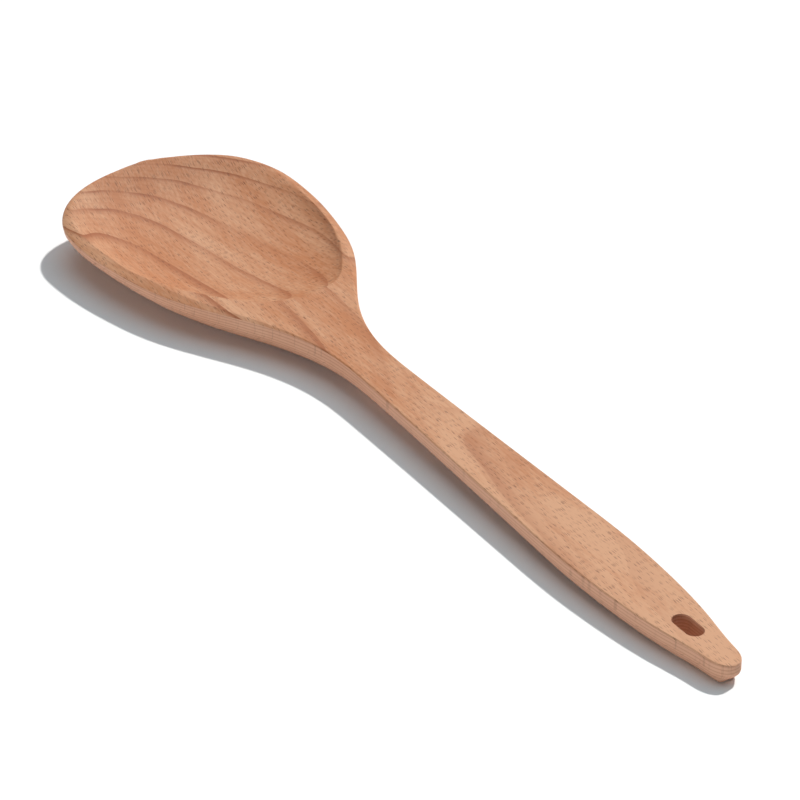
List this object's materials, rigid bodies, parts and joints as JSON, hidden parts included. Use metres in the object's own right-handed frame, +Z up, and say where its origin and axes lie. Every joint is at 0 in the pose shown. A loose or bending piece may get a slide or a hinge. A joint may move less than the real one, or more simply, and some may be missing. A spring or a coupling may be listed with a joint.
{
  "type": "wooden spoon",
  "caption": "Wooden cooking spoon: broad blunt-fronted bowl with a shallow hollow, narrow neck, flat-topped handle with a hanging slot near its tapered end.",
  "frame": {"origin": "on the table, under the middle of the spoon's length and width", "axes": "+X from the bowl to the handle's end, +Y across the spoon, +Z up, the way the hollow faces"},
  "size_m": [0.32, 0.0816, 0.019],
  "materials": {
    "beech": "sanded and oiled, satin"
  },
  "bodies": {
    "root": {"spoon": "beech"}
  },
  "joints": []
}
